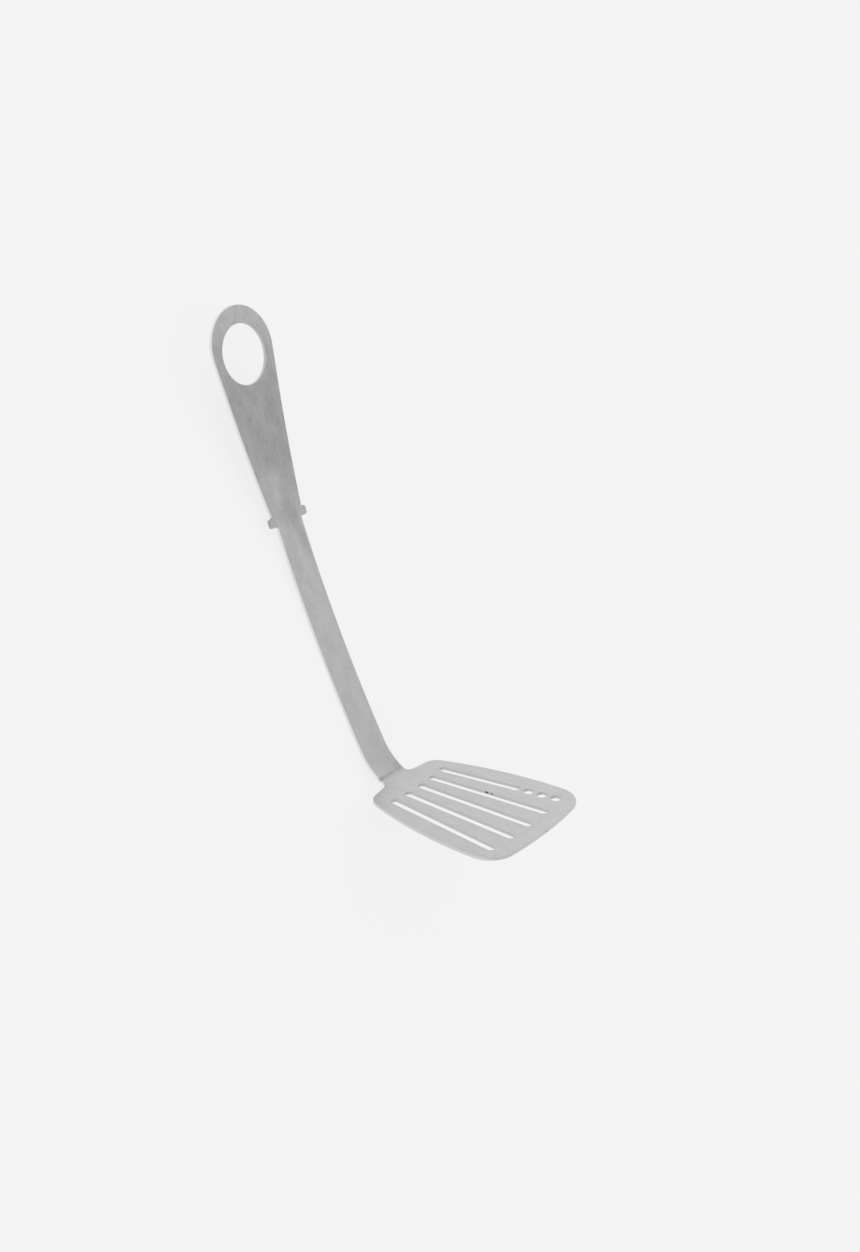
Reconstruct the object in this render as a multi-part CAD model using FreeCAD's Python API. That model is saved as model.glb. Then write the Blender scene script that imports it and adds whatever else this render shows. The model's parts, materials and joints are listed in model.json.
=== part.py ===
import FreeCAD, Part
import math
import os

from FreeCAD import Vector

# Wine bottle holder: one sheet of satin stainless steel, cut to the outline of a slotted
# turner and bent once at the foot of its handle. Loaded at the neck hole it stands on its
# flat blade. Empty, its centre of mass lies behind the blade and it tips over, so here it
# lies on its back.
# Millimetres. The sheet is worked out standing on its blade: the underside of the blade on
# Z = 0, the start of the bend on X = 0, the blade towards +X, and Y = 0 its middle line.

# Sheet and side profile. The bend starts tight, at the crease, and opens out into a wider
# sweep. Lengths along the arm start at the end of the sweep.
sheet = 1.8
blade_length = 97.1
crease_radius = 6.0
crease_angle = 30.0
sweep_radius = 35.0
sweep_angle = 30.9
bow_radius = 864.0
head_centre_at = 227.0
flat_head_from = 24.0

# Blade outline
blade_width = 85.5
side_bow_radius = 222.0
widest_before_tip = 15.0
tip_bow_radius = 250.0
tip_corner_radius = 15.6
shoulder_from_bend = 0.6
shoulder_rake = 8.0
shoulder_radius = 9.5
neck_fillet_radius = 4.5

# Arm outline
strip_width = 19.6
taper_foot_width = 23.9
collar_at = 133.4
collar_height = 4.4
ear_reach = 2.55
ear_radius = 1.6
head_diameter = 46.0

# Neck hole, wide enough for a 29.5 mm neck finish, a little below the middle of the head
neck_hole_diameter = 32.6
neck_hole_drop = 3.0

# Slots fan out from a point behind the bend, and end on arcs about that point
slot_count = 5
slot_width = 4.4
slot_pitch_angle = 3.92
fan_centre_behind_bend = 145.3
slots_from_bend = 14.7
slots_end_before_tip = 9.4

# The last slot is short: plain round holes, a web apart, take up the end of its line
round_hole_count = 3
round_hole_diameter = 5.6
round_hole_web = 2.5


def arm_lean():
    """How far the whole bend turns the arm up from the blade, in degrees."""
    return crease_angle + sweep_angle


def arc_point(centre, radius, turn):
    """A point of the side profile: down from a centre, turned towards -X by some degrees."""
    out = Vector(-math.sin(math.radians(turn)), 0, -math.cos(math.radians(turn)))
    return centre + out * radius


def next_centre(centre, radius, turn, next_radius):
    """Each arc starts tangent to the one below it, so both centres lie on one line."""
    inward = Vector(math.sin(math.radians(turn)), 0, math.cos(math.radians(turn)))
    return centre + inward * (next_radius - radius)


def crease_centre():
    return Vector(0, 0, sheet + crease_radius)


def sweep_centre():
    return next_centre(crease_centre(), crease_radius, crease_angle, sweep_radius)


def bow_centre():
    return next_centre(sweep_centre(), sweep_radius, arm_lean(), bow_radius)


def path_point(length, depth=0.0):
    """A point of the bow's profile: length along its front face, depth below that face."""
    turn = arm_lean() + math.degrees(length / bow_radius)
    return arc_point(bow_centre(), bow_radius + depth, turn)


def bow_length():
    return head_centre_at - flat_head_from


def head_turn():
    """Angle between the blade and the flat head, in radians."""
    return math.radians(arm_lean()) + bow_length() / bow_radius


def head_up():
    """The direction up along the flat head."""
    return Vector(-math.cos(head_turn()), 0, math.sin(head_turn()))


def head_front():
    """The direction out of the head's front face."""
    return Vector(math.sin(head_turn()), 0, math.cos(head_turn()))


def head_centre():
    return path_point(bow_length()) + head_up() * flat_head_from


def profile_arc(centre, radius, start, end):
    """An arc of the side profile between two turns, in degrees."""
    turns = (start, (start + end) / 2, end)
    return Part.Arc(*[arc_point(centre, radius, turn) for turn in turns]).toShape()


def arm_arcs(depth):
    """The crease, the sweep and the bow, depth below the front face."""
    bow_turn = arm_lean() + math.degrees(bow_length() / bow_radius)
    return [
        profile_arc(crease_centre(), crease_radius + depth, 0, crease_angle),
        profile_arc(sweep_centre(), sweep_radius + depth, crease_angle, arm_lean()),
        profile_arc(bow_centre(), bow_radius + depth, arm_lean(), bow_turn),
    ]


def ribbon():
    """The bent sheet at full width, before its outline is cut."""
    blade_end = blade_length + sheet
    reach = head_up() * (flat_head_from + head_diameter)
    front, back = path_point(bow_length()), path_point(bow_length(), sheet)
    edges = arm_arcs(0) + arm_arcs(sheet) + [
        Part.makeLine(Vector(blade_end, 0, sheet), Vector(0, 0, sheet)),
        Part.makeLine(front, front + reach),
        Part.makeLine(front + reach, back + reach),
        Part.makeLine(back + reach, back),
        Part.makeLine(Vector(0, 0, 0), Vector(blade_end, 0, 0)),
        Part.makeLine(Vector(blade_end, 0, 0), Vector(blade_end, 0, sheet)),
    ]
    section = Part.Face(Part.Wire(Part.__sortEdges__(edges)))
    section.translate(Vector(0, -blade_width, 0))
    return section.extrude(Vector(0, 2 * blade_width, 0))


def arc_y(x, centre_x, crown, radius):
    """Height at x of an arc whose crown lies over centre_x."""
    return crown - radius + math.sqrt(radius ** 2 - (x - centre_x) ** 2)


def side_y(x):
    return arc_y(x, blade_length - widest_before_tip, blade_width / 2, side_bow_radius)


def tip_x(y):
    return arc_y(y, 0, blade_length, tip_bow_radius)


def shoulder_x(y):
    rake = math.tan(math.radians(shoulder_rake))
    return shoulder_from_bend + (y - strip_width / 2) * rake


def settle(step, start):
    """Where two edges of the outline meet: one step, repeated until its value stands still."""
    settling_steps = 40
    value = start
    for _ in range(settling_steps):
        value = step(value)
    return value


def flat(points_and_arcs, side=1):
    """Edges through the given points of the blade, with a middle point for each arc."""
    edges = []
    for start, middle, end in points_and_arcs:
        a, c = Vector(start[0], side * start[1], 0), Vector(end[0], side * end[1], 0)
        if middle is None:
            edges.append(Part.makeLine(a, c))
        else:
            edges.append(Part.Arc(a, Vector(middle[0], side * middle[1], 0), c).toShape())
    return edges


def through_blade(face):
    """A face on Z = 0 made an upright prism that passes through the blade."""
    face.translate(Vector(0, 0, -sheet))
    return face.extrude(Vector(0, 0, 3 * sheet))


def upright_edges_at(solid, corner):
    """The upright edges of a prism that stand on a corner of its outline."""
    found = []
    for edge in solid.Edges:
        foot = edge.Vertexes[0].Point
        level = Vector(foot.x, foot.y, 0) - Vector(corner[0], corner[1], 0)
        if abs(edge.tangentAt(edge.FirstParameter).z) > 0.9 and level.Length < 0.01:
            found.append(edge)
    return found


def rounded(prism, corner, radius):
    """The prism with a corner of its outline, and the same corner across Y, rounded."""
    edges = upright_edges_at(prism, corner) + upright_edges_at(prism, (corner[0], -corner[1]))
    return prism.makeFillet(radius, edges)


def blade_prism():
    """The blade's outline as a low upright prism, with a tab that runs into the bend."""
    neck_y = strip_width / 2
    shoulder_y = settle(lambda y: side_y(shoulder_x(y)), neck_y)
    tip_y = settle(lambda y: side_y(tip_x(y)), blade_width / 2)
    neck = (shoulder_x(neck_y), neck_y)
    shoulder = (shoulder_x(shoulder_y), shoulder_y)
    tip = (tip_x(tip_y), tip_y)
    halfway = (shoulder[0] + tip[0]) / 2
    tab = (-2 * neck_fillet_radius, neck_y)
    half = [
        (tab, None, neck),
        (neck, None, shoulder),
        (shoulder, (halfway, side_y(halfway)), tip),
    ]
    tip_edge = Part.Arc(Vector(tip[0], tip[1], 0), Vector(blade_length, 0, 0),
                        Vector(tip[0], -tip[1], 0)).toShape()
    tab_edge = Part.makeLine(Vector(tab[0], neck_y, 0), Vector(tab[0], -neck_y, 0))
    edges = flat(half) + [tip_edge] + flat(half, -1) + [tab_edge]
    outline = Part.Wire(Part.__sortEdges__(edges))
    prism = through_blade(Part.Face(outline))
    prism = rounded(prism, neck, neck_fillet_radius)
    prism = rounded(prism, shoulder, shoulder_radius)
    return rounded(prism, tip, tip_corner_radius)


def head_plane_point(u, v):
    """A point of the head's plane: u up the arm from the head's centre, v across it."""
    return head_centre() + head_up() * u + Vector(0, v, 0)


def along_arm(length):
    """How far up the head's plane a point of the bow lies."""
    return (path_point(length) - head_centre()).dot(head_up())


def through_sheet(face, depth):
    """A face in the head's plane made a prism that passes through the arm."""
    face.translate(head_front() * depth)
    return face.extrude(head_front() * (-2 * depth))


def arm_depth():
    """Reach of the arm's prism either side of the head's plane, so that it takes in the bend."""
    return abs(head_centre().dot(head_front())) + sheet


def strip_prism():
    """The narrow strip from the start of the bend, on X = 0, up to the collar."""
    low, high = -head_centre().dot(head_up()), along_arm(collar_at)
    half = strip_width / 2
    corners = [(low, -half), (high, -half), (high, half), (low, half), (low, -half)]
    outline = Part.makePolygon([head_plane_point(u, v) for u, v in corners])
    return through_sheet(Part.Face(outline), arm_depth())


def taper_prism():
    """The tapering upper arm, whose edges run tangent into the round head."""
    radius = head_diameter / 2
    foot = along_arm(collar_at)
    half = taper_foot_width / 2
    reach = math.hypot(foot, half)
    turn = math.atan2(half, foot) - math.acos(radius / reach)
    touch = (radius * math.cos(turn), radius * math.sin(turn))
    edges = [
        Part.makeLine(head_plane_point(foot, -half), head_plane_point(foot, half)),
        Part.makeLine(head_plane_point(foot, half), head_plane_point(*touch)),
        Part.Arc(head_plane_point(*touch), head_plane_point(radius, 0),
                 head_plane_point(touch[0], -touch[1])).toShape(),
        Part.makeLine(head_plane_point(touch[0], -touch[1]), head_plane_point(foot, -half)),
    ]
    return through_sheet(Part.Face(Part.Wire(edges)), arm_depth())


def collar_prism():
    """The collar: a short cross bar whose rounded ears stand out past the taper's foot."""
    middle = along_arm(collar_at)
    low, high = middle - collar_height / 2, middle + collar_height / 2
    half = taper_foot_width / 2 + ear_reach
    corners = [(low, -half), (high, -half), (high, half), (low, half), (low, -half)]
    outline = Part.makePolygon([head_plane_point(u, v) for u, v in corners])
    prism = through_sheet(Part.Face(outline), arm_depth())
    ends = [edge for edge in prism.Edges
            if abs(edge.tangentAt(edge.FirstParameter).dot(head_front())) > 0.9]
    return prism.makeFillet(ear_radius, ends)


def slot_prism(angle, start, end):
    """One slot with round ends, on a ray of the fan between two distances from its centre."""
    centre = Vector(-fan_centre_behind_bend, 0, 0)
    ray = Vector(math.cos(math.radians(angle)), math.sin(math.radians(angle)), 0)
    across = Vector(-ray.y, ray.x, 0) * (slot_width / 2)
    first = centre + ray * (start + slot_width / 2)
    last = centre + ray * (end - slot_width / 2)
    outline = Part.Wire([
        Part.makeLine(first + across, last + across),
        Part.Arc(last + across, last + ray * (slot_width / 2), last - across).toShape(),
        Part.makeLine(last - across, first - across),
        Part.Arc(first - across, first - ray * (slot_width / 2), first + across).toShape(),
    ])
    return through_blade(Part.Face(outline))


def outer_ray_angle():
    return (slot_count - 1) / 2 * slot_pitch_angle


def slots_end():
    """How far from the fan's centre the slots end."""
    return fan_centre_behind_bend + blade_length - slots_end_before_tip


def slots():
    """The fan of slots. The last one stops short, to leave room for the round holes."""
    start = fan_centre_behind_bend + slots_from_bend
    made = []
    for number in range(slot_count - 1):
        made.append(slot_prism(number * slot_pitch_angle - outer_ray_angle(), start, slots_end()))
    holes_length = round_hole_count * (round_hole_diameter + round_hole_web)
    made.append(slot_prism(outer_ray_angle(), start, slots_end() - holes_length))
    return made


def round_holes():
    """Round holes on the last slot's ray, counted back from where the slots end."""
    angle = math.radians(outer_ray_angle())
    last = slots_end() - round_hole_diameter / 2
    made = []
    for number in range(round_hole_count):
        reach = last - number * (round_hole_diameter + round_hole_web)
        place = Vector(reach * math.cos(angle) - fan_centre_behind_bend,
                       reach * math.sin(angle), -sheet)
        made.append(Part.makeCylinder(round_hole_diameter / 2, 3 * sheet, place))
    return made


def neck_hole():
    middle = head_centre() - head_up() * neck_hole_drop
    foot = middle - head_front() * (2 * sheet)
    return Part.makeCylinder(neck_hole_diameter / 2, 4 * sheet, foot, head_front())


def standing_holder():
    outline = blade_prism().fuse([strip_prism(), taper_prism(), collar_prism()])
    cut = ribbon().common(outline)
    cut = cut.cut(slots() + round_holes() + [neck_hole()])
    return cut.removeSplitter().Solids[0]


def rest_turn(holder):
    """The turn about Y that lays the holder on its back.

    The back of the bow is an arc, so the holder rolls on it like a rocker until its centre
    of mass comes to lie straight below the centre of that arc.
    """
    drop = holder.CenterOfMass - bow_centre()
    return math.degrees(math.atan2(drop.x, -drop.z))


def laid_on_its_back(holder):
    """The holder turned to its rest, with the origin under the middle of its box."""
    holder.rotate(Vector(0, 0, 0), Vector(0, 1, 0), rest_turn(holder))
    box = holder.optimalBoundingBox(False, False)
    holder.translate(Vector(-(box.XMin + box.XMax) / 2, 0, -box.ZMin))
    return holder


os.makedirs("parts", exist_ok=True)
laid_on_its_back(standing_holder()).exportStep("parts/bottle_holder.step")
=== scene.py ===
import json
import math

import bpy
import numpy as np
from mathutils import Matrix
from mathutils.geometry import delaunay_2d_cdt


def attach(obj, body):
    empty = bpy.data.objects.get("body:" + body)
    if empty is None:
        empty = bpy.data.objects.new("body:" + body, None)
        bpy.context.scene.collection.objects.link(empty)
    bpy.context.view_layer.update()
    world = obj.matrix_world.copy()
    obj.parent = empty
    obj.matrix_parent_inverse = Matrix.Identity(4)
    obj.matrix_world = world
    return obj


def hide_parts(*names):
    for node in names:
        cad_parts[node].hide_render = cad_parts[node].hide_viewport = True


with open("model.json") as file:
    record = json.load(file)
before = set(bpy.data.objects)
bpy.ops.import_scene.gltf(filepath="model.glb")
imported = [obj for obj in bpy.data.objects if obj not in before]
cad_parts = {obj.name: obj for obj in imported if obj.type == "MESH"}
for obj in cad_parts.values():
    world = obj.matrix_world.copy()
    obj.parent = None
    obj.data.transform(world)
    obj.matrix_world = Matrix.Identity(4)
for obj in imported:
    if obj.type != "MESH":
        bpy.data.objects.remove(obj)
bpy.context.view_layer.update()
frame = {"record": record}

# Bottle holder
# One sheet of satin stainless steel. The blank is stamped with its slots and holes, tumbled
# until its edges are round, creased at the foot of the arm and bowed gently above that.
# Sizes are in millimetres, as the sheet stands on its blade.

metre = 1000
sheet = 1.8
edge_break = 0.3
blade_length = 97.1
crease_radius = 6.0
crease_angle = math.radians(30.0)
sweep_radius = 35.0
sweep_angle = math.radians(30.9)
bow_radius = 864.0
head_centre_at = 227.0
flat_head_from = 24.0

blade_width = 85.5
side_bow_radius = 222.0
widest_before_tip = 15.0
tip_bow_radius = 250.0
tip_corner_radius = 15.6
shoulder_from_bend = 0.6
shoulder_rake = math.radians(8.0)
shoulder_radius = 9.5
neck_fillet_radius = 4.5

strip_width = 19.6
taper_foot_width = 23.9
collar_at = 134.2
collar_height = 5.0
ear_reach = 3.0
ear_radius = 1.2
head_diameter = 46.0
neck_hole_diameter = 32.6
neck_hole_drop = 3.0

slot_count = 5
slot_width = 4.4
slot_pitch_angle = math.radians(3.92)
fan_centre_behind_bend = 145.3
slots_from_bend = 14.7
slots_end_before_tip = 9.4
round_hole_count = 3
round_hole_diameter = 5.6
round_hole_web = 2.5

arm_lean = crease_angle + sweep_angle
crease_length = crease_radius * crease_angle
bend_length = crease_length + sweep_radius * sweep_angle
bow_length = head_centre_at - flat_head_from
bow_end = bend_length + bow_length
head_turn = arm_lean + bow_length / bow_radius
head_up = np.array([-math.cos(head_turn), 0, math.sin(head_turn)])


def tangent_centre(centre, radius, turn, next_radius):
    """The centre of the profile's next arc, which touches this one at the given turn.

    It lies on the line from there through this arc's centre, as far on as the radii differ.
    """
    return centre + (next_radius - radius) * np.array([math.sin(turn), math.cos(turn)])


crease_centre = np.array([0.0, sheet + crease_radius])
sweep_centre = tangent_centre(crease_centre, crease_radius, crease_angle, sweep_radius)
bow_centre = tangent_centre(sweep_centre, sweep_radius, arm_lean, bow_radius)


def on_arc(centre, radius, turn):
    """A point of the side profile: down from a centre, turned towards -X, as (x, z) columns."""
    reach = np.stack([-np.sin(turn), -np.cos(turn)], axis=-1)
    return centre + reach * np.asarray(radius)[..., None]


def bent(blank, depth):
    """Where a point of the flat blank goes when the sheet is bent.

    The first column of blank runs up the middle of the front face: the blade below 0, then
    the crease, the wider sweep, the bow and the flat head. The second column runs across.
    Depth is how far below the front face the point lies. On an arc the turn is the run over
    the front face's radius, and the depth adds to the radius.
    """
    run, across = blank[:, 0], blank[:, 1]
    depth = np.broadcast_to(depth, run.shape)
    blade = np.stack([-run, sheet - depth], axis=-1)
    crease = on_arc(crease_centre, crease_radius + depth, run / crease_radius)
    sweep_turn = crease_angle + (run - crease_length) / sweep_radius
    sweep = on_arc(sweep_centre, sweep_radius + depth, sweep_turn)
    bow_turn = arm_lean + (np.minimum(run, bow_end) - bend_length) / bow_radius
    past_bow = head_up[[0, 2]] * np.maximum(run - bow_end, 0)[:, None]
    bow = on_arc(bow_centre, bow_radius + depth, bow_turn) + past_bow
    starts = [(run < end)[:, None] for end in (0, crease_length, bend_length)]
    profile = np.select(starts, [blade, crease, sweep], bow)
    return np.stack([profile[:, 0], across, profile[:, 1]], axis=-1)


head_centre = bent(np.array([[bow_end + flat_head_from, 0.0]]), 0)[0]
bow_samples = 4000


def height_in_head_plane(blank):
    """How far up the head's plane, from the head's centre, points of the blank lie."""
    return (bent(blank, 0) - head_centre) @ head_up


def head_plane_to_blank(points):
    """Points of the head's plane, up from the head's centre and across, put on the blank.

    A point's run is read from samples along the bow, between the two whose heights hold it.
    """
    runs = np.linspace(bend_length, bow_end + flat_head_from + head_diameter, bow_samples)
    heights = height_in_head_plane(np.stack([runs, 0 * runs], axis=-1))
    points = np.asarray(points, float)
    return np.stack([np.interp(points[:, 0], heights, runs), points[:, 1]], axis=-1)


outline_step = 1.2
ear_step = outline_step / 2
arc_step_angle = math.radians(9)
bend_step = 0.9


def line(start, end, step=outline_step):
    """Evenly spaced points from start up to, and without, end."""
    start, end = np.asarray(start, float), np.asarray(end, float)
    count = max(1, math.ceil(np.linalg.norm(end - start) / step))
    return start + (end - start) * (np.arange(count) / count)[:, None]


def arc(centre, start, end):
    """Points of the shorter arc about centre from start up to, and without, end."""
    centre, start, end = (np.asarray(p, float) for p in (centre, start, end))
    first = math.atan2(*(start - centre)[::-1])
    turn = (math.atan2(*(end - centre)[::-1]) - first + math.pi) % (2 * math.pi) - math.pi
    radius = np.linalg.norm(start - centre)
    count = math.ceil(max(abs(turn) * radius / outline_step, abs(turn) / arc_step_angle))
    turns = first + turn * np.arange(count) / count
    return centre + radius * np.stack([np.cos(turns), np.sin(turns)], axis=-1)


def rounding(first, second, radius, guess):
    """The arc that rounds a corner, as its centre and its two ends.

    Each edge is the signed distance of a point inside it. The centre lies at the distance
    radius inside both edges, found by Newton's steps, and an end is the centre's foot on
    its edge. A negative radius fills an inner corner from outside.
    """
    centre = np.array(guess, float)
    small = 1e-4
    newton_steps = 12
    for _ in range(newton_steps):
        miss = np.array([first(centre) - radius, second(centre) - radius])
        slopes = np.array([[(edge(centre + nudge) - edge(centre - nudge)) / (2 * small)
                            for nudge in np.eye(2) * small] for edge in (first, second)])
        centre = centre - np.linalg.solve(slopes, miss)
    return centre, centre - slopes[0] * radius, centre - slopes[1] * radius


side_centre = np.array([blade_length - widest_before_tip, blade_width / 2 - side_bow_radius])
tip_centre = np.array([blade_length - tip_bow_radius, 0.0])


def inside_side(point):
    """How far inside the blade's side: the arc's radius less the distance from its centre."""
    return side_bow_radius - np.linalg.norm(point - side_centre)


def inside_tip(point):
    """How far inside the blade's tip: the arc's radius less the distance from its centre."""
    return tip_bow_radius - np.linalg.norm(point - tip_centre)


def inside_shoulder(point):
    """How far inside the shoulder's line: the way past it along the blade, times the rake's cosine."""
    lean = (point[1] - strip_width / 2) * math.tan(shoulder_rake)
    return (point[0] - shoulder_from_bend - lean) * math.cos(shoulder_rake)


def inside_strip(point):
    """How far inside the strip's straight side: half its width less the point's way across."""
    return strip_width / 2 - point[1]


tip_corner = rounding(inside_tip, inside_side, tip_corner_radius, guess=(80, 25))
shoulder = rounding(inside_side, inside_shoulder, shoulder_radius, guess=(15, 20))
neck_fillet = rounding(inside_shoulder, inside_strip, -neck_fillet_radius, guess=(-4, 15))

collar_middle = height_in_head_plane(np.array([[bend_length + collar_at, 0.0]]))[0]
collar_low = collar_middle - collar_height / 2
collar_high = collar_middle + collar_height / 2


def half_blade():
    """The blade's outline from the middle of its tip to where the strip's straight side starts.

    Lengths on the blade are measured from the bend to the tip, so the blank has them negative.
    """
    return np.concatenate([
        arc(tip_centre, (blade_length, 0), tip_corner[1]),
        arc(tip_corner[0], tip_corner[1], tip_corner[2]),
        arc(side_centre, tip_corner[2], shoulder[1]),
        arc(shoulder[0], shoulder[1], shoulder[2]),
        line(shoulder[2], neck_fillet[1]),
        arc(neck_fillet[0], neck_fillet[1], neck_fillet[2]),
    ]) * [-1, 1]


def half_arm():
    """The arm's outline from there to the top of the head.

    The taper starts at the collar's middle and touches the head's circle, where its line is
    square to the radius. Collar, taper and head are drawn in the head's plane.
    """
    side, taper_foot, radius = strip_width / 2, taper_foot_width / 2, head_diameter / 2
    reach = math.hypot(collar_middle, taper_foot)
    turn = math.atan2(taper_foot, collar_middle) - math.acos(radius / reach)
    touch = np.array([radius * math.cos(turn), radius * math.sin(turn)])
    slope = (touch[1] - taper_foot) / (touch[0] - collar_middle)
    above_ear = (collar_high, taper_foot + slope * collar_height / 2)
    ear = taper_foot + ear_reach
    ear_side = ear - ear_radius
    low_round, high_round = collar_low + ear_radius, collar_high - ear_radius
    collar = np.concatenate([
        line((collar_low, side), (collar_low, ear_side), ear_step),
        arc((low_round, ear_side), (collar_low, ear_side), (low_round, ear)),
        line((low_round, ear), (high_round, ear), ear_step),
        arc((high_round, ear_side), (high_round, ear), (collar_high, ear_side)),
        line((collar_high, ear_side), above_ear, ear_step),
        line(above_ear, touch),
        arc((0, 0), touch, (radius, 0)),
    ])
    collar_foot = head_plane_to_blank([(collar_low, side)])[0]
    return np.concatenate([
        line((-neck_fillet[2][0], side), (bend_length, side), bend_step),
        line((bend_length, side), collar_foot),
        head_plane_to_blank(collar),
    ])


def outer_loop():
    """The whole outline: one half from tip to head, and the same mirrored back to the tip."""
    half = np.concatenate([half_blade(), half_arm()])
    top = head_plane_to_blank([(head_diameter / 2, 0)])
    return np.concatenate([half, top, half[:0:-1] * [1, -1]])


def slot_loop(turn, start, end):
    """A slot with round ends, on a ray of the fan between two distances from its centre.

    Like the blade's outline, it is turned round into the blank's negative lengths at the end.
    """
    ray = np.array([math.cos(turn), math.sin(turn)])
    across = np.array([-ray[1], ray[0]]) * slot_width / 2
    centre = np.array([-fan_centre_behind_bend, 0.0])
    first, last = centre + ray * (start + slot_width / 2), centre + ray * (end - slot_width / 2)
    crown = ray * slot_width / 2
    loop = np.concatenate([
        line(first + across, last + across),
        arc(last, last + across, last + crown),
        arc(last, last + crown, last - across),
        line(last - across, first - across),
        arc(first, first - across, first - crown),
        arc(first, first - crown, first + across),
    ])
    return loop * [-1, 1]


extra_circle_points = 12


def circle_loop(centre, radius):
    """A round hole: points evenly spaced round its circle, and some more to keep it smooth."""
    count = math.ceil(2 * math.pi * radius / outline_step) + extra_circle_points
    turns = 2 * math.pi * np.arange(count) / count
    return np.asarray(centre) + radius * np.stack([np.cos(turns), np.sin(turns)], axis=-1)


def opening_loops():
    """The slots, the round holes at the end of the short slot, and the neck hole."""
    outer_turn = (slot_count - 1) / 2 * slot_pitch_angle
    start = fan_centre_behind_bend + slots_from_bend
    end = fan_centre_behind_bend + blade_length - slots_end_before_tip
    hole_pitch = round_hole_diameter + round_hole_web
    loops = [slot_loop(number * slot_pitch_angle - outer_turn, start, end)
             for number in range(slot_count - 1)]
    loops.append(slot_loop(outer_turn, start, end - round_hole_count * hole_pitch))
    for number in range(round_hole_count):
        reach = end - round_hole_diameter / 2 - number * hole_pitch
        centre = (fan_centre_behind_bend - reach * math.cos(outer_turn), reach * math.sin(outer_turn))
        loops.append(circle_loop(centre, round_hole_diameter / 2))
    neck_hole = circle_loop((-neck_hole_drop, 0.0), neck_hole_diameter / 2)
    loops.append(head_plane_to_blank(neck_hole))
    return loops


chunk_count = 40


def chunks(points):
    """The points' numbers in short runs, so that a table of points by edges stays small."""
    return np.array_split(np.arange(len(points)), chunk_count)


def inside(points, loops):
    """Whether each point is in the metal: a line from it crosses the loops an odd number of times."""
    crossings = np.zeros(len(points), int)
    for loop in loops:
        a, b = loop, np.roll(loop, -1, axis=0)
        for chunk in chunks(points):
            x, y = points[chunk, 0, None], points[chunk, 1, None]
            spans = (a[:, 1] > y) != (b[:, 1] > y)
            rise = np.where(b[:, 1] == a[:, 1], 1.0, b[:, 1] - a[:, 1])
            at = a[:, 0] + (y - a[:, 1]) / rise * (b[:, 0] - a[:, 0])
            crossings[chunk] += (spans & (x < at)).sum(axis=1)
    return crossings % 2 == 1


def clearance(points, loops):
    """Distance from each point to the nearest point of the loops."""
    rim = np.concatenate(loops)
    parts = [np.hypot(*(points[chunk, None] - rim).transpose(2, 0, 1)).min(axis=1)
             for chunk in chunks(points)]
    return np.concatenate(parts)


def inward(loop, is_outer):
    """Directions from the loop into the metal, square to it.

    They are longer at corners, by the mitre rule, so that an inset keeps its width there.
    """
    ahead, behind = np.roll(loop, -1, axis=0) - loop, loop - np.roll(loop, 1, axis=0)
    normals = [np.stack([-v[:, 1], v[:, 0]], axis=-1) / np.linalg.norm(v, axis=1)[:, None]
               for v in (ahead, behind)]
    following = np.roll(loop, -1, axis=0)
    twice_area = np.sum(loop[:, 0] * following[:, 1] - loop[:, 1] * following[:, 0])
    mitre = (normals[0] + normals[1]) / (1 + np.sum(normals[0] * normals[1], axis=1))[:, None]
    return mitre * (1 if (twice_area > 0) == is_outer else -1)


edge_round_points = 5
edge_flat_row = 0.12


def edge_profile():
    """The sheet's edge from its front face to its back, as inset from the outline and depth.

    Two quarter circles of the tumbled edge's radius with the straight wall between them, and
    a narrow flat row on each face, which keeps the faces' shading flat up to the edge.
    """
    turns = np.linspace(0, math.pi / 2, edge_round_points)
    inset, depth = edge_break * (1 - np.sin(turns)), edge_break * (1 - np.cos(turns))
    front = np.stack([np.r_[edge_break + edge_flat_row, inset], np.r_[0, depth]], axis=-1)
    back = front[::-1] * [1, -1] + [0, sheet]
    return np.concatenate([front, back])


crease_step = 0.35
blade_grid_step = 2.0
bow_grid_step = 2.4
grid_clearance = 1.0


def blank_grid(loops):
    """Points inside the blank: rows close together in the crease, where the sheet curves most."""
    rows = np.concatenate([
        np.arange(-blade_length, -grid_clearance, blade_grid_step),
        np.linspace(0, crease_length, math.ceil(crease_length / crease_step) + 1),
        np.arange(crease_length + bend_step, bend_length, bend_step),
        np.arange(bend_length, bow_end + flat_head_from + head_diameter, bow_grid_step),
    ])
    each_side = math.ceil(blade_width / 2 / blade_grid_step)
    columns = np.arange(-each_side, each_side + 1) * blade_grid_step
    points = np.stack(np.meshgrid(rows, columns, indexing="ij"), axis=-1).reshape(-1, 2)
    points = points[inside(points, loops)]
    return points[clearance(points, loops) > grid_clearance]


# The tumbled outer walls are painted paler than the faces, most on the arm, as a painted highlight;
# the ears' walls are darker, and the punched walls a little darker, as painted shade in the openings.
arm_edge_highlight = 1.28
blade_edge_highlight = 1.07
ear_tone = 0.67
punched_wall_shade = 0.93


def wall_tones(loop, is_outer):
    """How pale the wall is painted at each point of a loop, where 1 is as pale as the faces: a painted
    highlight on the blade's and arm's outer walls, and painted shade on the punched walls.
    """
    if not is_outer:
        return np.full(len(loop), punched_wall_shade)
    run = loop[:, 0]
    low, high = head_plane_to_blank([(collar_low, 0), (collar_high, 0)])[:, 0]
    touching = 0.01
    at_ear = (run > low - touching) & (run < high + touching)
    return np.where(at_ear, ear_tone, np.where(run < 0, blade_edge_highlight, arm_edge_highlight))


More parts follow.
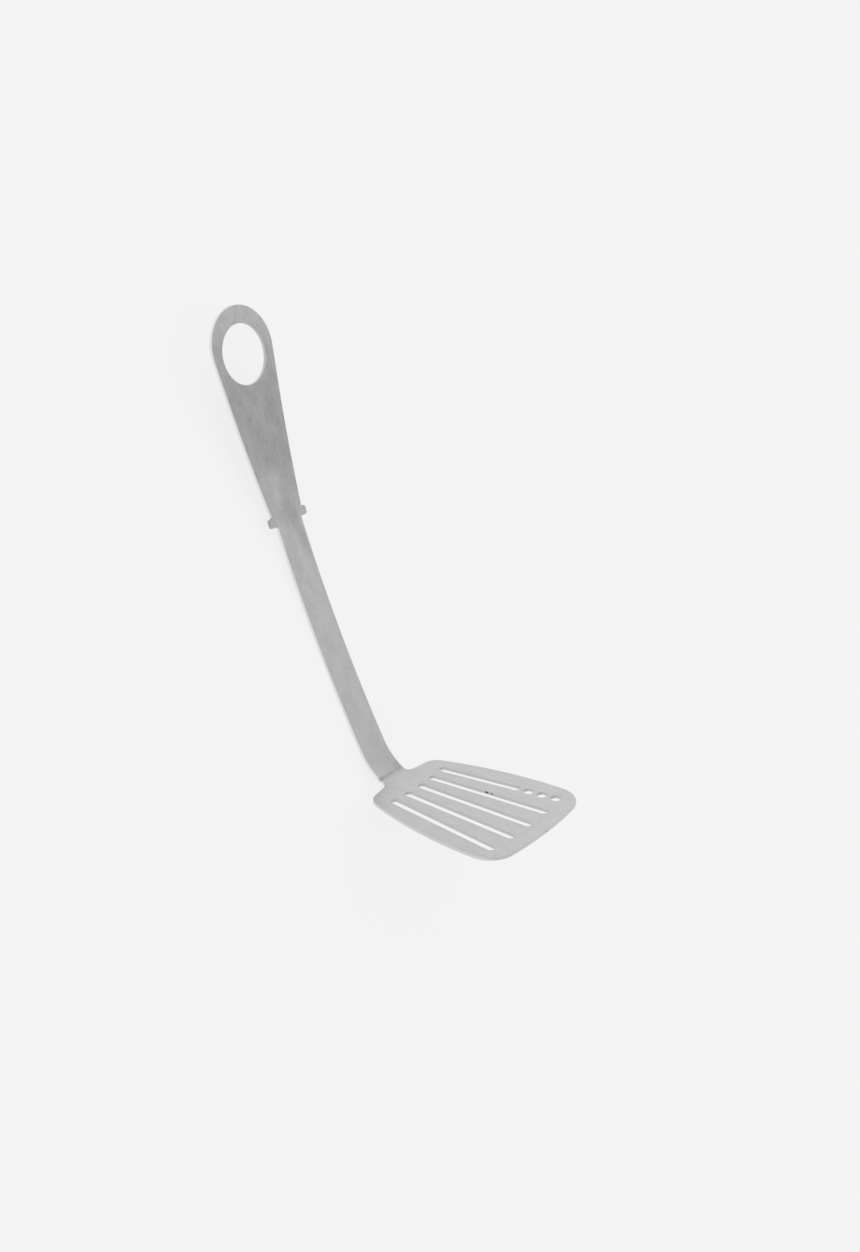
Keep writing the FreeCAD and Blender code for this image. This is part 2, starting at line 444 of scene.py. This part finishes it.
def face_triangles(rims, grid):
    """Triangles over the metal between the rims, through the grid's points.

    They are Delaunay's, held to the rims, without those whose middle is outside the metal.
    The bend carries the blank over mirrored, so the ones that turn clockwise face outwards.
    """
    flat = np.concatenate(rims + [grid])
    edges, first = [], 0
    for rim in rims:
        ids = first + np.arange(len(rim))
        edges.append(np.stack([ids, np.roll(ids, -1)], axis=-1))
        first += len(rim)
    edges = np.concatenate(edges)
    whole_hull, merge_distance = 0, 1e-6
    made = delaunay_2d_cdt(flat.tolist(), edges.tolist(), [], whole_hull, merge_distance)
    origin = np.array([sources[0] for sources in made[3]])
    triangles = origin[np.array(made[2])]
    corners = flat[triangles]
    lean = np.cross(corners[:, 1] - corners[:, 0], corners[:, 2] - corners[:, 0])
    triangles[lean > 0] = triangles[lean > 0][:, ::-1]
    return triangles[inside(corners.mean(axis=1), rims)]


def holder_surface():
    """Blank points, depths, wall tones and faces of the whole closed sheet.

    Every loop carries the edge profile round with it, as a grid of loop by profile. The two
    faces are the same triangles, one at the front's rows and one at the back's.
    """
    loops = [outer_loop()] + opening_loops()
    profile = edge_profile()
    points, depths, tones, faces, rims = [], [], [], [], []
    front_ids, back_ids, total = [], [], 0
    for number, loop in enumerate(loops):
        into = inward(loop, number == 0)
        count, rows = len(loop), len(profile)
        band = loop[:, None] + into[:, None] * profile[None, :, :1]
        ids = total + np.arange(count * rows).reshape(count, rows)
        points.append(band.reshape(-1, 2))
        depths.append(np.broadcast_to(profile[:, 1], (count, rows)).ravel())
        tones.append(np.repeat(wall_tones(loop, number == 0), rows))
        rims.append(band[:, 0])
        front_ids.append(ids[:, 0])
        back_ids.append(ids[:, -1])
        near, far = ids, np.roll(ids, -1, axis=0)
        quads = np.stack([near[:, :-1], far[:, :-1], far[:, 1:], near[:, 1:]], axis=-1).reshape(-1, 4)
        metal_on_right = np.cross(into[0], loop[1] - loop[0]) > 0
        faces.append(quads[:, ::-1] if metal_on_right else quads)
        total += count * rows
    grid = blank_grid(rims)
    grid_ids = total + np.arange(len(grid))
    points += [grid, grid]
    depths += [np.zeros(len(grid)), np.full(len(grid), sheet)]
    tones.append(np.ones(2 * len(grid)))
    front = np.concatenate(front_ids + [grid_ids])
    back = np.concatenate(back_ids + [grid_ids + len(grid)])
    triangles = face_triangles(rims, grid)
    faces += [front[triangles], back[triangles][:, ::-1]]
    return np.concatenate(points), np.concatenate(depths), np.concatenate(tones), faces


mounts = {mount["name"]: mount for mount in frame["record"]["mounts"]}
foot_axis = mounts["foot_face"]["axis"]
# The blade's underside faces straight down while it stands, and along foot_axis once laid.
lay_sin = -foot_axis[0]
lay_cos = -foot_axis[2]
lay_down = np.array([[lay_cos, 0, lay_sin], [0, 1, 0], [-lay_sin, 0, lay_cos]])
neck_hole_middle = bent(head_plane_to_blank([(-neck_hole_drop, 0)]), sheet / 2)[0]
lay_shift = np.array(mounts["neck_hole"]["pos_m"]) * metre - lay_down @ neck_hole_middle


def laid(points):
    """Standing points, in millimetres, laid down on the back of the bow, in metres.

    The blade's underside gives the turn, and the middle of the neck hole the place.
    """
    return (points @ lay_down.T + lay_shift) / metre


blank_points, blank_depths, edge_tones, holder_faces = holder_surface()
# A point's share of the face is 1 on both faces and 0 from half the edge break's depth on.
face_shares = np.clip(1 - np.minimum(blank_depths, sheet - blank_depths) / (edge_break / 2), 0, 1)
point_tones = 1 + (edge_tones - 1) * (1 - face_shares)
blank_places = np.column_stack([blank_points, blank_depths]) / metre

holder_mesh = bpy.data.meshes.new("bottle_holder_steel")
holder_polygons = [face for part in holder_faces for face in part.tolist()]
holder_mesh.from_pydata(laid(bent(blank_points, blank_depths)), [], holder_polygons)
holder_mesh.polygons.foreach_set("use_smooth", np.ones(len(holder_mesh.polygons), bool))
for name, kind, key, values in [
        ("blank_place", "FLOAT_VECTOR", "vector", blank_places),
        ("face_share", "FLOAT", "value", face_shares),
        ("tone", "FLOAT", "value", point_tones)]:
    attribute = holder_mesh.attributes.new(name, kind, "POINT")
    attribute.data.foreach_set(key, values.ravel())
holder = bpy.data.objects.new("bottle_holder_steel", holder_mesh)
bpy.context.scene.collection.objects.link(holder)


def linear(code):
    """An sRGB hex colour as linear red, green, blue and alpha.

    A dark channel is divided by 12.92. Above 0.04045, 0.055 is added first, and the sum is
    divided by 1.055 and raised to the power of 2.4.
    """
    channels = np.array([int(code[i:i + 2], 16) for i in (1, 3, 5)]) / 255
    curve = np.where(channels <= 0.04045, channels / 12.92, ((channels + 0.055) / 1.055) ** 2.4)
    return (*curve.tolist(), 1.0)


def add_node(owner, kind, settings=None, inputs=None, links=None):
    """Adds a node: its settings, its fixed inputs, and links from other nodes' outputs."""
    node = owner.node_tree.nodes.new(kind)
    for name, value in (settings or {}).items():
        setattr(node, name, value)
    for name, value in (inputs or {}).items():
        node.inputs[name].default_value = value
    for name, output in (links or {}).items():
        owner.node_tree.links.new(output, node.inputs[name])
    return node


def spread(owner, value, low, high, least, most):
    """Carries a value from the range low to high over to the range least to most, smoothly."""
    ranged = add_node(owner, "ShaderNodeMapRange", {"interpolation_type": "SMOOTHSTEP"}, {
        "From Min": low, "From Max": high, "To Min": least, "To Max": most,
    }, {"Value": value})
    return ranged.outputs["Result"]


def combined(owner, operation, first, second):
    """Two values added, multiplied or otherwise combined, each an output or a number."""
    node = add_node(owner, "ShaderNodeMath", {"operation": operation})
    for socket, value in zip(node.inputs, (first, second)):
        if isinstance(value, float):
            socket.default_value = value
        else:
            owner.node_tree.links.new(value, socket)
    return node.outputs["Value"]


# Each pattern's features along and across the sheet in millimetres, its octaves, its seed and
# how far it moves the tone. Real hairlines are finer and wouldn't show, so they are drawn as
# coarse as they need to be.
steel_patterns = {
    "clouds": (13.0, 8.0, 3.0, 3.1, 0.10),
    "mottle": (3.0, 2.2, 2.0, 5.3, 0.07),
    "streaks": (34.0, 1.4, 2.0, 7.7, 0.03),
    "hairlines": (11.0, 0.16, 2.0, 9.1, 0.12),
    "grain": (0.8, 0.5, 2.0, 1.3, 0.05),
}
octave_strength = 0.55
pattern_low, pattern_high = 0.25, 0.75
sheen_low, sheen_high = 0.2, 0.8

# Each mark's middle and its reach, along, across and into the sheet in millimetres, and the
# tone there: specks on a slot's wall and a nick in the tip, then painted shade and painted
# highlight over the crease, the bend, the arm and the taper, then two specks on the taper.
specks_and_painted_light = [
    ((-48.8, 15.5, 0.5), (2.0, 0.9, 0.8), 0.08),
    ((-51.9, 15.7, 0.5), (0.9, 0.9, 0.8), 0.15),
    ((-97.1, 0.2, 0.6), (0.9, 1.0, 0.8), 0.60),
    # Painted shade across the crease, where the bend starts, and one painted highlight just above it.
    ((4.4, -4.0, 0.0), (1.6, 16.0, 3.0), 0.84),
    ((4.4, -9.6, 0.0), (2.0, 4.5, 3.0), 0.78),
    ((5.6, 8.0, 0.0), (5.0, 5.5, 3.0), 0.86),
    ((9.0, -5.5, 0.0), (6.0, 6.0, 3.0), 1.08),
    # Soft patches of painted shade, and at 1.12 a painted highlight, standing in for reflections on the
    # arm, the taper and by the bend.
    ((158.5, 2.6, 0.0), (11.0, 10.0, 3.0), 0.86),
    ((148.0, 5.0, 0.0), (13.0, 6.0, 3.0), 0.89),
    ((138.0, 6.0, 0.0), (12.0, 5.5, 3.0), 0.92),
    ((-3.0, 8.0, 0.0), (9.0, 9.0, 3.0), 0.95),
    ((193.5, 2.5, 0.0), (11.0, 7.0, 3.0), 0.93),
    ((176.5, -5.0, 0.0), (14.0, 12.0, 3.0), 1.12),
    ((14.0, 2.0, 0.0), (16.0, 12.0, 3.0), 0.94),
    # Two specks on the taper.
    ((212.2, -8.0, 0.0), (1.4, 1.4, 3.0), 0.86),
    ((206.5, 11.8, 0.0), (2.6, 1.4, 3.0), 0.88),
]
mark_core = 0.2

steel_colour = "#D4D4D4"
smoothest, roughest = 0.34, 0.40
edge_smoothness = 0.85
relief_strength = 0.3
relief_depth = 0.01 / metre
wear_from, wear_to = 80 / metre, 160 / metre
blade_wear, arm_wear = 0.75, 1.15


def noise_on_blank(steel, place, along, across, octaves, seed):
    """Smooth noise from 0 to 1 on the flat blank, its features along by across millimetres."""
    stretched = add_node(steel, "ShaderNodeMapping", inputs={
        "Scale": (metre / along, metre / across, metre / across), "Location": (seed, 2 * seed, 0),
    }, links={"Vector": place})
    noise = add_node(steel, "ShaderNodeTexNoise", {"noise_dimensions": "2D"},
                     {"Scale": 1.0, "Detail": octaves, "Roughness": octave_strength},
                     {"Vector": stretched.outputs["Vector"]})
    return noise.outputs["Fac"]


def mark(steel, place, middle, reach, tone):
    """A factor that is 1, but goes over to the given tone inside a small ellipsoid."""
    centred = add_node(steel, "ShaderNodeMapping", inputs={
        "Location": tuple(-m / r for m, r in zip(middle, reach)),
        "Scale": tuple(metre / r for r in reach),
    }, links={"Vector": place})
    distance = add_node(steel, "ShaderNodeVectorMath", {"operation": "LENGTH"},
                        links={"Vector": centred.outputs["Vector"]})
    return spread(steel, distance.outputs["Value"], mark_core, 1.0, tone, 1.0)


def satin_stainless():
    """Stainless steel, ground and then tumbled to a soft satin, with a matt even sheen.

    Tumbling leaves clouds and a fine mottle, all within a few percent of one grey, over
    the last faint streaks of the grinding, and more of them on the arm than on the blade.
    The outer edges are smoother, and painted paler as a painted highlight; the punched walls of
    the openings are painted darker as painted shade. A few specks and a nick are darker marks, and
    soft patches of painted shade and painted highlight lie over the crease, the bend and the arm.
    """
    steel = bpy.data.materials.new("satin_stainless_steel")
    steel.use_nodes = True
    shader = steel.node_tree.nodes["Principled BSDF"]
    shader.inputs["Metallic"].default_value = 1.0
    links = steel.node_tree.links
    place = add_node(steel, "ShaderNodeAttribute", {"attribute_name": "blank_place"}).outputs["Vector"]
    face = add_node(steel, "ShaderNodeAttribute", {"attribute_name": "face_share"}).outputs["Fac"]
    tone = add_node(steel, "ShaderNodeAttribute", {"attribute_name": "tone"}).outputs["Fac"]
    patterns, variation = {}, 0.0
    for name, (along, across, octaves, seed, depth) in steel_patterns.items():
        patterns[name] = noise_on_blank(steel, place, along, across, octaves, seed)
        change = spread(steel, patterns[name], pattern_low, pattern_high, -depth / 2, depth / 2)
        variation = combined(steel, "ADD", variation, change)
    run = add_node(steel, "ShaderNodeSeparateXYZ", links={"Vector": place}).outputs["X"]
    wear = combined(steel, "MULTIPLY", face, spread(steel, run, wear_from, wear_to, blade_wear, arm_wear))
    worn = combined(steel, "ADD", 1.0, combined(steel, "MULTIPLY", variation, wear))
    tone = combined(steel, "MULTIPLY", tone, worn)
    # The marks multiply the tone: real specks and a nick, then painted shade and painted highlight.
    for middle, reach, mark_tone in specks_and_painted_light:
        tone = combined(steel, "MULTIPLY", tone, mark(steel, place, middle, reach, mark_tone))
    colour = add_node(steel, "ShaderNodeVectorMath", {"operation": "SCALE"},
                      {0: linear(steel_colour)[:3]}, {"Scale": tone})
    links.new(colour.outputs["Vector"], shader.inputs["Base Color"])
    rough = spread(steel, patterns["clouds"], sheen_low, sheen_high, smoothest, roughest)
    smooth_edge = spread(steel, face, 0.0, 1.0, edge_smoothness, 1.0)
    links.new(combined(steel, "MULTIPLY", rough, smooth_edge), shader.inputs["Roughness"])
    scratches = combined(steel, "ADD", patterns["grain"], patterns["hairlines"])
    relief = add_node(steel, "ShaderNodeBump",
                      inputs={"Strength": relief_strength, "Distance": relief_depth},
                      links={"Height": combined(steel, "MULTIPLY", scratches, face)})
    links.new(relief.outputs["Normal"], shader.inputs["Normal"])
    return steel


holder_mesh.materials.append(satin_stainless())
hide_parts("bottle_holder")
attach(holder, "root")

# Table
# A wide pale board under the holder, the only thing it stands on. Eye and metal see mostly
# its own plain colour, so the holder's shadow stays on it, but faint.

table_half = 6.0
table_colour = "#FCFCFC"
table_plain_share = 0.75
board_roughness, board_gloss = 0.9, 0.2
corner_signs = np.array([[-1, -1], [1, -1], [1, 1], [-1, 1]])


def matt_board(name, code):
    """Uncoated board, dead matt, in one colour."""
    board = bpy.data.materials.new(name)
    board.use_nodes = True
    shader = board.node_tree.nodes["Principled BSDF"]
    shader.inputs["Base Color"].default_value = linear(code)
    shader.inputs["Roughness"].default_value = board_roughness
    shader.inputs["Specular IOR Level"].default_value = board_gloss
    return board


def flat_sheet(name, corners, material):
    """One flat face through four corners, in metres."""
    mesh = bpy.data.meshes.new(name)
    mesh.from_pydata(corners, [], [(0, 1, 2, 3)])
    mesh.materials.append(material)
    flat = bpy.data.objects.new(name, mesh)
    bpy.context.scene.collection.objects.link(flat)
    return flat


pale_board = matt_board("pale_matt_board", table_colour)
rays = add_node(pale_board, "ShaderNodeLightPath").outputs
seen = combined(pale_board, "ADD", rays["Is Camera Ray"], rays["Is Glossy Ray"])
seen = combined(pale_board, "ADD", seen, rays["Is Transmission Ray"])
plain = add_node(pale_board, "ShaderNodeEmission", inputs={"Color": linear(table_colour)})
shaded = add_node(pale_board, "ShaderNodeMixShader", links={
    0: combined(pale_board, "MULTIPLY", seen, table_plain_share),
    1: pale_board.node_tree.nodes["Principled BSDF"].outputs[0],
    2: plain.outputs[0],
})
table_surface = pale_board.node_tree.nodes["Material Output"].inputs["Surface"]
pale_board.node_tree.links.new(shaded.outputs[0], table_surface)
table_corners = np.column_stack([corner_signs * table_half, np.zeros(4)])
table = flat_sheet("table", table_corners, pale_board)

# Light
# A soft studio tent, the same all round: as pale as the table low down, so that the two meet
# with no line, and dimmer overhead. Heights are the upward part of a direction of length 1.

tent_low, tent_high = 0.90, 0.675
low_until, high_from = 0.1, 0.55

tent = bpy.data.worlds.new("tent")
bpy.context.scene.world = tent
tent.use_nodes = True
direction = add_node(tent, "ShaderNodeTexCoord").outputs["Generated"]
height = add_node(tent, "ShaderNodeSeparateXYZ", links={"Vector": direction}).outputs["Z"]
background = tent.node_tree.nodes["Background"]
background.inputs["Color"].default_value = linear("#FFFFFF")
tent_strength = spread(tent, height, low_until, high_from, tent_low, tent_high)
tent.node_tree.links.new(tent_strength, background.inputs["Strength"])
bpy.context.scene.view_settings.view_transform = "Standard"

# Grey card
# A small grey card on the far side of the head, leaning over it. The metal alone sees it, and
# it tones down the head and upper arm. Its middle and half sides are in metres.

card_middle = np.array([-0.072, 0.071, 0.084])
card_along, card_up = np.array([0.042, 0.0, 0.0]), np.array([0.0, -0.048, 0.051])

card_corners = card_middle + corner_signs @ np.stack([card_along, card_up])
card = flat_sheet("grey_card", card_corners, matt_board("grey_matt_board", "#DDDDDD"))
for sight in ("visible_camera", "visible_diffuse", "visible_shadow", "visible_transmission"):
    setattr(card, sight, False)

# Camera
# The photograph's own viewpoint, worked out in millimetres for the holder standing on its
# blade and laid down with it, so it looks down on the lying holder as the photograph does.

camera_azimuth, camera_elevation, camera_roll = np.radians([35.996, 24.439, 0.053])
camera_place = np.array([558.8, -738.8, 513.4])
focal_length_pixels, image_height_pixels, sensor_size = 1929.2, 1252, 36.0

level = np.array([math.cos(camera_azimuth), math.sin(camera_azimuth), 0.0])
back = np.array([math.sin(camera_azimuth) * math.cos(camera_elevation),
                 -math.cos(camera_azimuth) * math.cos(camera_elevation),
                 math.sin(camera_elevation)])
right = math.cos(camera_roll) * level + math.sin(camera_roll) * np.cross(back, level)
turned = lay_down @ np.stack([right, np.cross(back, right), back], axis=-1)
camera_data = bpy.data.cameras.new("camera")
camera_data.sensor_width = sensor_size
camera_data.lens = focal_length_pixels * sensor_size / image_height_pixels
camera = bpy.data.objects.new("camera", camera_data)
camera.matrix_world = Matrix.Translation(laid(camera_place)) @ Matrix(turned.tolist()).to_4x4()
bpy.context.scene.collection.objects.link(camera)
bpy.context.scene.camera = camera
